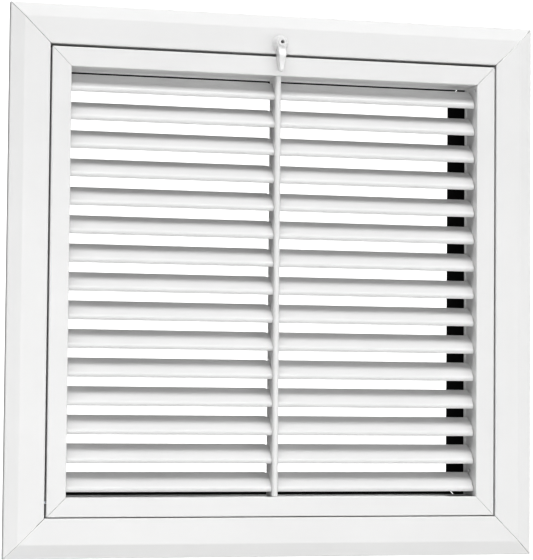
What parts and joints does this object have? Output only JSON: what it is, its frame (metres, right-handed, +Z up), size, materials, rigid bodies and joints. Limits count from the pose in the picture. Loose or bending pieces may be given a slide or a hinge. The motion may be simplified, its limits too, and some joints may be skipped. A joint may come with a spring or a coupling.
{
  "type": "louvred air grille",
  "caption": "Square wall grille in powder-coated aluminium: mitred frame with a neck, drop-down core of fixed sloping blades and a turn-button latch.",
  "frame": {"origin": "centre of the neck on the wall plane, which the flange's back edge touches", "axes": "+Y from the room into the duct, +Z up, +X to the right seen from the room"},
  "size_m": [0.3886, 0.063, 0.3886],
  "materials": {
    "white_powder_coat": "satin powder coat on extruded aluminium",
    "black_powder_coat": "matt powder coat on sheet steel",
    "mill_aluminium": "mill finish",
    "zinc_plated_steel": "zinc plated",
    "nylon": "natural nylon",
    "painted_rivet": "gloss paint on aluminium",
    "latch_plastic": "moulded, satin gloss"
  },
  "bodies": {
    "frame": {"frame_top": "white_powder_coat", "frame_bottom": "white_powder_coat", "frame_left": "white_powder_coat", "frame_right": "white_powder_coat", "frame_corner_keys": "mill_aluminium", "filter_stop_top": "black_powder_coat", "filter_stop_bottom": "black_powder_coat", "filter_stop_left": "black_powder_coat", "filter_stop_right": "black_powder_coat", "filter_stop_rivets": "mill_aluminium", "hinge_pins": "zinc_plated_steel", "core_stops": "nylon", "latch_rivet": "painted_rivet", "latch_washer": "nylon"},
    "core": {"core_top": "white_powder_coat", "core_bottom": "white_powder_coat", "core_left": "white_powder_coat", "core_right": "white_powder_coat", "core_corner_keys": "mill_aluminium", "hinge_corner_keys": "mill_aluminium", "hinge_bushes": "nylon", "mullion": "white_powder_coat", "mullion_screws": "zinc_plated_steel", "blade_01": "white_powder_coat", "blade_02": "white_powder_coat", "blade_03": "white_powder_coat", "blade_04": "white_powder_coat", "blade_05": "white_powder_coat", "blade_06": "white_powder_coat", "blade_07": "white_powder_coat", "blade_08": "white_powder_coat", "blade_09": "white_powder_coat", "blade_10": "white_powder_coat", "blade_11": "white_powder_coat", "blade_12": "white_powder_coat", "blade_13": "white_powder_coat", "blade_14": "white_powder_coat", "blade_15": "white_powder_coat"},
    "latch": {"latch_lever": "latch_plastic"}
  },
  "joints": [
    {"name": "core_hinge", "type": "hinge", "parent": "frame", "child": "core", "pos_m": [0, -0.0042, -0.1554], "axis": [1, 0, 0], "range_deg": [0, 135]},
    {"name": "latch_turn", "type": "hinge", "parent": "frame", "child": "latch", "pos_m": [0, -0.0084, 0.1739], "axis": [0, -1, 0], "continuous": true}
  ]
}
